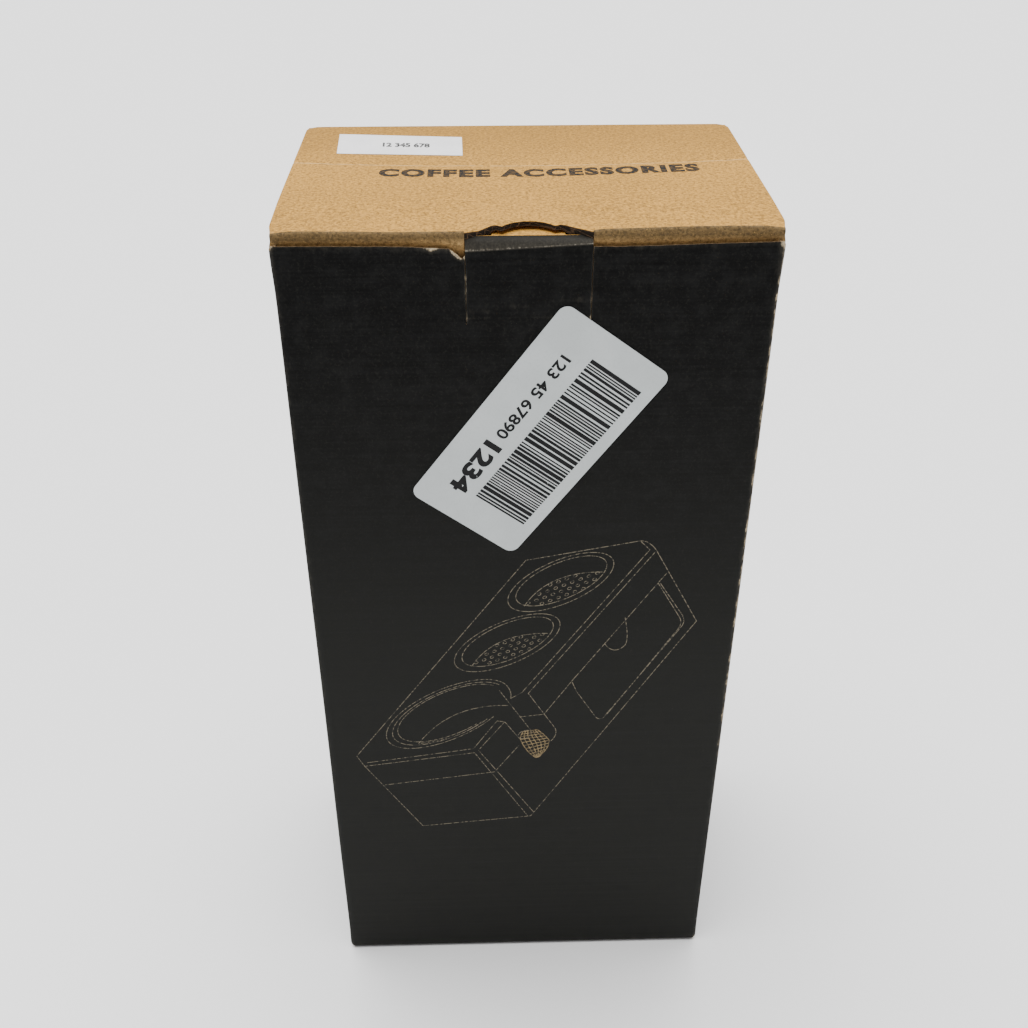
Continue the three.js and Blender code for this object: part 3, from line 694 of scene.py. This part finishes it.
def build_lid():
    """The lid, its notched front edge and the fold down to the back wall."""
    columns = span(-LID_HALF_X, -LID_HALF_X + 0.8, -EAR_X - 0.02, step=2.2) + span(-EAR_X, EAR_X, step=0.8)
    columns += span(EAR_X + 0.02, LID_HALF_X - 0.8, LID_HALF_X, step=2.2)
    shares = [0, 0.004, 0.01] + [k / 92 for k in range(1, 93)]
    turns = [math.pi / 2 * k / 6 for k in range(1, 7)]
    outer, inner, wear = [], [], []
    for t in shares:
        row = []
        for x in columns:
            front = notch_y(x) if abs(x) <= EAR_X else LID_FRONT_Y
            y = front + (LID_BACK_Y - front) * t
            row.append((x * lid_half(y) / LID_HALF_X, y))
        pressed = 0.35 * bell(t, 0.008)  # the notch's edge is pressed down a little
        outer.append([(x, y, lid_z(x, y) - (pressed if abs(x) <= EAR_X else 0)) for x, y in row])
        inner.append([(x, y, TOP_Z - BOARD - front_sag(x, y) - ear_split(x, y)) for x, y in row])
        wear.append([0.34 * bell(y - LID_FRONT_Y, 0.9) + 0.25 * bell(LID_HALF_X - abs(x), 1.0)
                     for x, y in row])
    radius = 2.9
    for a in turns:
        y, z = LID_BACK_Y + radius * math.sin(a), TOP_Z - radius * (1 - math.cos(a))
        inside = radius - BOARD
        narrow = lid_half(y) / LID_HALF_X
        outer.append([(x * narrow, y, z - 0.4 * bell(HALF_X - abs(x), 1.6) * math.cos(a)) for x in columns])
        inner_y, inner_z = LID_BACK_Y + inside * math.sin(a), TOP_Z - BOARD - inside * (1 - math.cos(a))
        inner.append([(x * narrow, inner_y, inner_z) for x in columns])
        wear.append([0.25] * len(columns))
    back_y = HALF_Y - 0.08
    outer.append([(x * narrow, back_y, BACK_RIM_Z) for x in columns])
    inner.append([(x * narrow, back_y - BOARD, BACK_RIM_Z) for x in columns])
    wear.append([0.1] * len(columns))
    lid = board("lid_board", outer, inner, [lid_kraft, kraft, painted_shade_edge], wear=wear)
    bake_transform(lid)
    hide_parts("lid_panel")


def build_tuck_flap():
    """The lid's front fold and the flap below it, leaning back behind the front wall."""
    lean = math.radians(13)
    radius, inside = 0.9, 0.1  # the sharp fold's outer and inner radius
    fold_z = TOP_Z - radius
    half = 67.5  # half the flap's width, below the strip that shows
    length, chamfer = 24.2, 7.0
    strip, strip_end = 4.0, 5.6  # the strip is as wide as the lid down to here, and narrows to here
    left = span(-half, -half + 1, SLOT_LEFT, step=2.4)
    columns = left + span(SLOT_RIGHT, half - 1, half, step=2.4)
    turns = [(math.pi / 2 + lean) * k / 7 for k in range(0, 8)]
    drops = span(0.9, 2.5, strip, strip_end, length, step=2.2)
    outer, inner, wear = [], [], []
    for a in turns:
        y, z = LID_FRONT_Y - radius * math.sin(a), fold_z + radius * math.cos(a)
        rows_out, rows_in = [], []
        for x in columns:
            wide = x + math.copysign(lid_half(LID_FRONT_Y) - half, x) * blend_in(abs(x), 40, half)
            sunk = TOP_Z - lid_z(wide, LID_FRONT_Y)
            rows_out.append((wide, y, z - sunk))
            rows_in.append((wide, LID_FRONT_Y - inside * math.sin(a), fold_z + inside * math.cos(a) - sunk))
        outer.append(rows_out)
        inner.append(rows_in)
        # pale over the fold: partly rubbed liner, partly a painted highlight along the fold
        wear.append([0.10 * bell(a - 0.9, 0.5)] * len(columns))
    foot_y, foot_z = outer[-1][0][1], fold_z + radius * math.cos(turns[-1])
    for d in drops:
        y, z = foot_y + d * math.sin(lean), foot_z - d * math.cos(lean)
        spread = LID_HALF_X - CORNER_IN * (1 - blend_in(d, 0.5, 3.5)) - half
        taper = max(0.0, d - length + chamfer) - spread * (1 - blend_in(d, strip, strip_end))
        row = [x - math.copysign(1, x) * taper * blend_in(abs(x), 40, half) for x in columns]
        sag = [0.25 * (0.5 + 0.5 * wobble(x, 0, z, 2.2, 0.03)) for x in row]
        low = [TOP_Z - lid_z(x, LID_FRONT_Y) for x in row]
        outer.append([(x, y + s, z - l) for x, s, l in zip(row, sag, low)])
        inner.append([(x, y + s + BOARD * math.cos(lean), z - l + BOARD * math.sin(lean))
                      for x, s, l in zip(row, sag, low)])
        wear.append([0.0] * len(columns))
    keep = np.ones((len(outer) - 1, len(columns) - 1), bool)
    bridge = len(left) - 1
    keep[:, bridge] = False  # open behind the tab, so that its tongue can pass
    keep[len(turns) + 3:, bridge] = True
    flap = board("tuck_flap_board", outer, inner, [kraft_strip, kraft, edge], keep, wear=wear, flip=True)
    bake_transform(flap)
    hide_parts("tuck_flap")


def build_dust_flap(name, side):
    """A side wall's top fold and the flap that lies under the lid."""
    front, back = -43.2, 44.2
    flat_from, corner_from, end = 66.0, 26.0, 22.0
    radius = 3.2
    fold_x, fold_z = HALF_X - radius, DUST_TOP_Z - radius
    shares = span(0, 0.08, 0.92, 1, step=0.045)
    outer, inner, wear = [], [], []

    def add_row(x, z, nx, nz, y0, y1, rub=0.0):
        ys = [y0 + (y1 - y0) * s for s in shares]
        outer.append([(side * x, y, z) for y in ys])
        inner.append([(side * (x - nx * BOARD), y, z - nz * BOARD) for y in ys])
        wear.append([rub] * len(ys))

    reach = HALF_Y - FOLD_RADIUS - 1.9
    add_row(HALF_X - 0.05, SIDE_RIM_Z, 1, 0, -reach, reach, 0.2)
    for t in (k / 6 for k in range(7)):
        nx, nz = math.cos(math.pi / 2 * t), math.sin(math.pi / 2 * t)
        y0, y1 = -reach + (front + reach) * t, reach + (back - reach) * t
        add_row(fold_x + radius * nx, fold_z + radius * nz, nx, nz, y0, y1, 0.3)
    for x in span(flat_from, corner_from, end, step=2.4):
        taper = 0.4 * (flat_from - x)
        corner = max(0.0, corner_from - x)
        add_row(x, DUST_TOP_Z, 0, 1, front + corner, back - taper)
    flap = board(name + "_board", outer, inner, [kraft_strip, kraft, edge], wear=wear, flip=side < 0)
    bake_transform(flap)
    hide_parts(name)


# ---- flat print: lines, bars and letters --------------------------------------------------------------
def letters(text, weight=0.0, spacing=1.0):
    """A line of text as flat triangles: (points in its own plane, faces)."""
    curve = bpy.data.curves.new("text", "FONT")
    curve.body = text
    curve.size = 1.0
    curve.offset = weight
    curve.space_character = spacing
    curve.resolution_u = 4
    shown = bpy.data.objects.new("text", curve)
    bpy.context.scene.collection.objects.link(shown)
    bpy.context.view_layer.update()
    mesh = bpy.data.meshes.new_from_object(shown.evaluated_get(bpy.context.evaluated_depsgraph_get()))
    points = np.array([v.co[:2] for v in mesh.vertices])
    faces = [tuple(p.vertices) for p in mesh.polygons]
    bpy.data.objects.remove(shown)
    bpy.data.meshes.remove(mesh)
    return points, faces


def fitted(points, u0, u1, v0, height):
    """Letters stretched to run from u0 to u1, standing on v0, with capitals of the given height."""
    low, high = points[:, 0].min(), points[:, 0].max()
    u = u0 + (points[:, 0] - low) * (u1 - u0) / (high - low)
    return np.stack([u, v0 + points[:, 1] * height / CAP], 1)


def flat_print(name, groups, place, paint, body):
    """Joins groups of flat (points, faces) into one piece laid on a surface by place(u, v)."""
    points, faces = [], []
    for flat, some in groups:
        start = len(points)
        points += [place(u, v) for u, v in flat]
        faces += [tuple(start + k for k in f) for f in some]
    piece = mesh_piece(name, points, faces, [0] * len(faces), [paint])
    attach(piece, body)


def ribbon(points, width):
    """A thin line along points, as a strip of quads."""
    p = np.asarray(points, float)
    way = np.gradient(p, axis=0)
    way /= np.linalg.norm(way, axis=1)[:, None]
    across = np.stack([-way[:, 1], way[:, 0]], 1) * width / 2
    flat = np.concatenate([p + across, p - across])
    n = len(p)
    return flat, [(n + k, n + k + 1, k + 1, k) for k in range(n - 1)]


def straight(a, b, step=6.0):
    """Points along a straight line, no further apart than step."""
    count = max(1, math.ceil(math.dist(a, b) / step))
    way = (b[0] - a[0], b[1] - a[1])
    return [(a[0] + way[0] * k / count, a[1] + way[1] * k / count) for k in range(count + 1)]


def bent(a, middle, b, count=8):
    """A smooth curve from a to b that pulls towards middle."""
    found = []
    for k in range(count + 1):
        t = k / count
        shares = (1 - t) ** 2, 2 * t * (1 - t), t * t
        found.append(tuple(sum(s * p[n] for s, p in zip(shares, (a, middle, b))) for n in (0, 1)))
    return found


def oval(cx, cz, half_x, half_z, rise, start=0, end=360):
    """A leaning ellipse, given its half sizes and how far its right end stands above its centre."""
    count = max(6, round(abs(end - start) / 7))
    found = []
    for k in range(count + 1):
        a = math.radians(start + (end - start) * k / count)
        tall = math.sqrt(half_z ** 2 - rise ** 2)
        found.append((cx + half_x * math.cos(a), cz + rise * math.cos(a) + tall * math.sin(a)))
    return found


def well_floor(cx, cz):
    """The far edge of a small well's floor."""
    return bent((cx - 11.6, cz - 9.4), (cx - 4.0, cz + 4.6), (cx + 13.6, cz + 3.9), 12)


def well_studs(cx, cz, half_x, half_z, rise):
    """Small rings in a leaning lattice, where they fall on the part of the floor that shows."""
    floor_x, floor_z = zip(*well_floor(cx, cz))
    tall = math.sqrt(half_z ** 2 - rise ** 2)
    found = []
    for i in range(-7, 8):
        for j in range(-6, 4):
            x, z = cx + 2.65 * i + 0.85 * j + 1.0, cz + 1.15 * i + 2.5 * j - 1.6
            u = (x - cx) / half_x
            v = (z - cz - rise * u) / tall
            inside = math.hypot(u, v) < 0.93 and x < cx + 12.5
            if inside and z < float(np.interp(x, floor_x, floor_z)) - 0.7:
                found.append((x, z))
    return found


def chain(*points):
    """Straight lines from each point to the next."""
    return [straight(a, b) for a, b in zip(points, points[1:])]


def drawing_lines():
    """The outline drawing of the station, in the front face's X and Z."""
    left_far, right_far, right_round = (-0.2, 191.2), (35.8, 198.0), (41.0, 194.4)
    right_low, near_low, left_low = (56.2, 165.4), (2.2, 74.6), (-37.8, 70.4)
    left_near, left_round = (-59.7, 106.9), (-57.3, 101.9)
    near_top, near_round = (-18.3, 109.4), (-18.0, 107.4)
    slot_left, slot_foot = (-9.9, 122.5), (-7.2, 122.0)
    # the body's outline, the top's inner edges and the seam below the top
    lines = chain(right_far, left_far, left_near, left_round, left_low, near_low, right_low, right_round)
    lines += [bent(right_far, (38.6, 198.0), right_round)]
    lines += chain((-56.2, 103.5), near_top, slot_left) + chain((-57.0, 101.8), near_round, (1.1, 74.7))
    lines += chain((-16.3, 109.0), slot_foot) + chain((-16.6, 108.6), (3.4, 76.4))
    lines += chain((-1.0, 135.9), (39.0, 194.5), (36.0, 197.7)) + chain((0.8, 134.9), (40.8, 193.7))
    lines += chain((-50.5, 92.2), (-11.0, 97.7), (-2.2, 110.6))
    lines += chain((6.4, 125.2), (15.8, 140.4), (45.1, 185.4))
    # the drawer and its finger notch
    lines += chain((15.8, 139.8), (17.5, 135.4), (24.4, 123.6)) + chain((28.5, 125.0), (50.2, 162.0))
    lines += chain((27.0, 123.0), (51.4, 163.2)) + chain((50.4, 167.2), (42.4, 181.4))
    lines += chain((51.3, 168.0), (43.2, 181.2))
    lines += [
        bent((24.4, 123.6), (26.2, 121.0), (28.5, 125.0)), bent((50.2, 162.0), (51.8, 164.6), (50.4, 167.2)),
        bent((51.4, 163.2), (52.6, 165.4), (51.3, 168.0)), bent((32.5, 167.4), (34.4, 158.0), (33.0, 155.6)),
        bent((33.0, 155.6), (29.6, 151.2), (26.2, 156.4)),
    ]
    # two small wells, each with an inner ring and the edge of its floor
    for cx, cz, half_x, half_z, rise in ((10.9, 182.2, 16.9, 11.65, 6.9), (-6.4, 157.4, 17.6, 12.2, 7.4)):
        lines.append(oval(cx, cz, half_x, half_z, rise))
        lines.append(oval(cx + 0.2, cz + 0.5, half_x - 2.4, half_z - 1.8, rise - 0.9))
        lines.append(well_floor(cx, cz))
    # portafilter well: three rings, broken where the neck slot leaves, and its floor
    lines += [
        oval(-27.1, 125.9, 21.6, 15.8, 9.6, 10, 318), oval(-26.6, 126.1, 19.9, 14.4, 8.8, 28, 312),
        oval(-26.2, 126.4, 18.4, 13.2, 8.0, 34, 300),
        bent((-37.6, 112.4), (-26.0, 131.0), (-6.0, 129.6), 12),
        bent((-36.8, 112.5), (-24.0, 113.6), (-15.0, 122.4), 10),
    ]
    # the neck slot
    lines += chain((-5.2, 132.8), (-1.0, 135.6)) + chain((-9.0, 136.6), (1.8, 118.0))
    lines += chain(slot_left, slot_foot, (-2.3, 114.2)) + chain((0.9, 135.0), (10.4, 118.6))
    lines += chain((-2.0, 124.2), (6.2, 125.2))
    lines += [
        bent((-5.8, 137.6), (-4.6, 134.8), (-5.2, 132.8)), bent((10.4, 118.6), (11.6, 115.6), (9.0, 112.4)),
        oval(-0.2, 115.8, 2.4, 2.0, 0.7),
    ]
    return lines


def between(points, t):
    """The place a share t along evenly timed points."""
    at = [k / (len(points) - 1) for k in range(len(points))]
    return tuple(float(np.interp(t, at, [p[n] for p in points])) for n in (0, 1))


def build_drawing():
    """The drawing as thin ribbons of bare board, and the hatched grip in its neck slot."""
    width, proud = 0.25, 0.03
    groups = [ribbon(line, width) for line in drawing_lines()]
    for well in ((11.1, 182.7, 14.5, 9.9, 6.0), (-6.2, 157.9, 15.2, 10.4, 6.5)):
        groups += [ribbon(oval(x, z, 0.60, 0.52, 0.15), 0.21) for x, z in well_studs(*well)]
    left = [(-0.8, 117.2), (-2.0, 114.2), (-0.6, 110.4), (1.4, 106.8), (3.8, 104.4)]
    right = [(4.2, 118.0), (6.6, 115.6), (8.5, 112.8), (8.0, 109.4), (5.2, 105.0)]
    rungs = [(between(left, k / 10), between(right, k / 10)) for k in range(11)]
    grip = [ribbon(straight(a, b, 1.5), 0.36) for a, b in rungs]
    for k in range(7):
        grip.append(ribbon([between(rung, k / 6) for rung in rungs], 0.30))
    line_paint = ink_paint("bare_kraft_line", (0.175, 0.150, 0.105), 0.95, (0.018, 0.017, 0.014))
    grip_paint = ink_paint("bare_kraft_grip", (0.24, 0.175, 0.085), 0.70, (0.030, 0.024, 0.016))
    for name, some, paint in (("outline_drawing", groups, line_paint), ("outline_grip", grip, grip_paint)):
        flat_print(name, some, lambda x, z: (x, front_y(x, z) - proud, z), paint, "carton")


# ---- labels -----------------------------------------------------------------------------------------
LABEL_AT = (2.9, 236.4)  # the label's middle, in X and Z
LABEL_U, LABEL_V = (-0.598, -0.802), (0.802, -0.598)  # along its length and across it


def label_point(u, v, lift):
    """A place on the front label. It lies flat over the small dents of the board."""
    x = LABEL_AT[0] + u * LABEL_U[0] + v * LABEL_V[0]
    z = LABEL_AT[1] + u * LABEL_U[1] + v * LABEL_V[1]
    return x, min(front_y(x, z), -HALF_Y + 0.12) - lift, z


def build_front_label():
    half_u, half_v, corner = 38.45, 19.5, 3.1
    rounds = [half_v - corner + corner * math.sin(math.pi / 2 * k / 7) for k in range(1, 8)]
    vs = [-v for v in reversed(rounds)] + span(-half_v + corner, half_v - corner, step=2.0) + rounds
    shares = span(-1, 1, step=0.045)
    outer, inner = [], []
    for v in vs:
        over = max(0.0, abs(v) - (half_v - corner))
        half = half_u - (corner - math.sqrt(max(0.0, corner ** 2 - over ** 2)))
        outer.append([label_point(s * half, v, 0.20) for s in shares])
        inner.append([label_point(s * half, v, 0.05) for s in shares])
    paper = label_paint("label_stock", (0.50, 0.53, 0.53))
    label = board("front_label_paper", outer, inner, [paper, paper, paper])
    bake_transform(label)
    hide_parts("front_label")

    rng = random.Random(58)  # the bars' widths mean nothing
    bars = []
    u, end, foot, head = -29.3, 27.15, -2.6, 15.6
    while u < end:
        far = u + rng.choice((0.50, 0.50, 0.66, 0.92, 1.35))
        bars.append((np.array([(u, foot), (far, foot), (far, head), (u, head)]), [(0, 1, 2, 3)]))
        u = far + rng.choice((0.34, 0.34, 0.46, 0.66))
    thin, thin_faces = letters("123 45 67890", 0.024)
    bold, bold_faces = letters("1234", 0.042)
    groups = bars + [(fitted(thin, -25.4, 6.8, -10.5, 3.6), thin_faces),
                     (fitted(bold, 9.5, 29.4, -11.3, 5.6), bold_faces)]
    ink = ink_paint("label_ink", (0.004, 0.004, 0.0045))
    flat_print("front_label_print", groups, lambda a, b: label_point(a, b, 0.215), ink, "carton")


def build_lid_print():
    left, right, height = -43.2, 53.5, 6.5
    words, faces = letters("COFFEE ACCESSORIES", 0.062, 1.20)
    flat = fitted(words, left, right, 0.0, height)

    def on_lid(u, v):
        """The line of words is bowed, as the crease is."""
        middle = float(np.interp(u, [left, -20, 5, 30, right], [-0.8, -2.0, -2.3, -0.6, 1.8]))
        y = middle - height / 2 + v
        return u, y, lid_z(u, y) + 0.02

    ink = ink_paint("lid_ink", (0.008, 0.007, 0.006), 0.12)
    flat_print("lid_lettering", [(flat, faces)], on_lid, ink, "lid")


def lid_label_point(s, t, lift):
    """A place on the small label, s and t running 0 to 1 from its front left corner."""
    front_left, front_right = (-57.5, 17.9), (-18.2, 14.7)
    back_left, back_right = (-58.5, 38.8), (-18.6, 34.2)
    x, y = [(1 - t) * ((1 - s) * front_left[n] + s * front_right[n])
            + t * ((1 - s) * back_left[n] + s * back_right[n]) for n in (0, 1)]
    return x, y, lid_z(x, y) + lift


def build_lid_label():
    shares, depths = span(0, 1, step=0.05), span(0, 1, step=0.1)
    grid = [[(s, t + 0.006 * wobble(s * 9, t * 5, 0, 4.4, 1.0)) for s in shares] for t in depths]
    outer = [[lid_label_point(s, t, 0.16) for s, t in row] for row in grid]
    inner = [[lid_label_point(s, t, 0.03) for s, t in row] for row in grid]
    paper = label_paint("lid_label_stock", (0.90, 0.895, 0.905), gloss=0.5)
    label = board("lid_label_paper", outer, inner, [paper, paper, paper])
    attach(label, "lid")
    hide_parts("lid_label")

    digits, faces = letters("12 345 678", 0.045)
    flat = fitted(digits, 0.36, 0.74, 0.40, 0.20)
    faint = ink_paint("faint_label_ink", (0.02, 0.02, 0.02), 0.20, (0.60, 0.60, 0.59))
    flat_print("lid_label_digits", [(flat, faces)], lambda a, b: lid_label_point(a, b, 0.175), faint, "lid")


# ---- what the CAD part shows as it is ------------------------------------------------------------------
def finish_nodes():
    """Materials and soft edges for the nodes that no own piece replaces."""
    nodes = frame["nodes"]
    plain_kraft = kraft_paint("inner_kraft", own=False)
    pulp, walnut, silicone, steel = pulp_paint(), walnut_paint(), silicone_paint(), steel_paint()
    finishes = {"kraft_board": plain_kraft, "moulded_pulp": pulp, "walnut": walnut, "silicone": silicone,
                "steel": steel}
    rounding = {"moulded_pulp": 2.0, "walnut": 1.0, "silicone": 0.3, "steel": 0.25}
    slots = {s["node"]: s["material_slot"] for s in frame["record"]["subparts"]}
    for name, node in nodes.items():
        if node.hide_render:
            continue
        slot = slots[name]
        node.data.materials.clear()
        node.data.materials.append(finishes[slot])
        if slot in rounding:
            soft = node.modifiers.new("soft edges", "BEVEL")
            soft.width = rounding[slot] * MM
            soft.segments = 2
            soft.limit_method = "ANGLE"
            soft.angle_limit = math.radians(40)
            soft.use_clamp_overlap = True
        node.data.shade_smooth()
        node.data.set_sharp_from_angle(angle=math.radians(35))


# ---- floor, light and camera ---------------------------------------------------------------------------
def build_stage():
    reach, floor_z = 40.0, -2e-5  # in metres
    corners = [(-reach, -reach, floor_z), (reach, -reach, floor_z), (reach, reach, floor_z),
               (-reach, reach, floor_z)]
    mesh = bpy.data.meshes.new("floor")
    mesh.from_pydata(corners, [], [(0, 1, 2, 3)])
    floor = bpy.data.objects.new("floor", mesh)
    bpy.context.scene.collection.objects.link(floor)
    p = Paint("floor_paper", own=False)
    p.set(Base_Color=(0.90, 0.90, 0.90), Roughness=0.9, Specular_IOR_Level=0.1)
    mesh.materials.append(p.material)

    world = bpy.data.worlds.new("studio")
    world.use_nodes = True
    background = world.node_tree.nodes["Background"]
    background.inputs["Color"].default_value = (1.0, 1.0, 1.0, 1.0)
    background.inputs["Strength"].default_value = 0.45
    bpy.context.scene.world = world

    light = bpy.data.lights.new("overhead", "SUN")
    light.energy = 6.4
    light.angle = math.radians(62)
    overhead = bpy.data.objects.new("overhead", light)
    overhead.rotation_mode = "QUATERNION"
    overhead.rotation_quaternion = Vector((0.10, -0.16, -1.0)).to_track_quat("-Z", "Y")
    bpy.context.scene.collection.objects.link(overhead)


def build_camera():
    """The place, direction and lens that were fitted to the photo's view."""
    data = bpy.data.cameras.new("camera")
    data.lens = 42.1
    data.sensor_width = 36.0
    camera = bpy.data.objects.new("camera", data)
    camera.location = (-12.5 * MM, -358.7 * MM, 414.0 * MM)
    camera.rotation_euler = (math.radians(90 - 33.59), 0, math.radians(-1.58))
    data.clip_start, data.clip_end = 0.01, 100
    bpy.context.scene.collection.objects.link(camera)
    bpy.context.scene.camera = camera


build_sleeve()
build_tab()
build_lid()
build_tuck_flap()
build_dust_flap("left_dust_flap", -1)
build_dust_flap("right_dust_flap", 1)
build_drawing()
build_front_label()
build_lid_print()
build_lid_label()
finish_nodes()
build_stage()
build_camera()
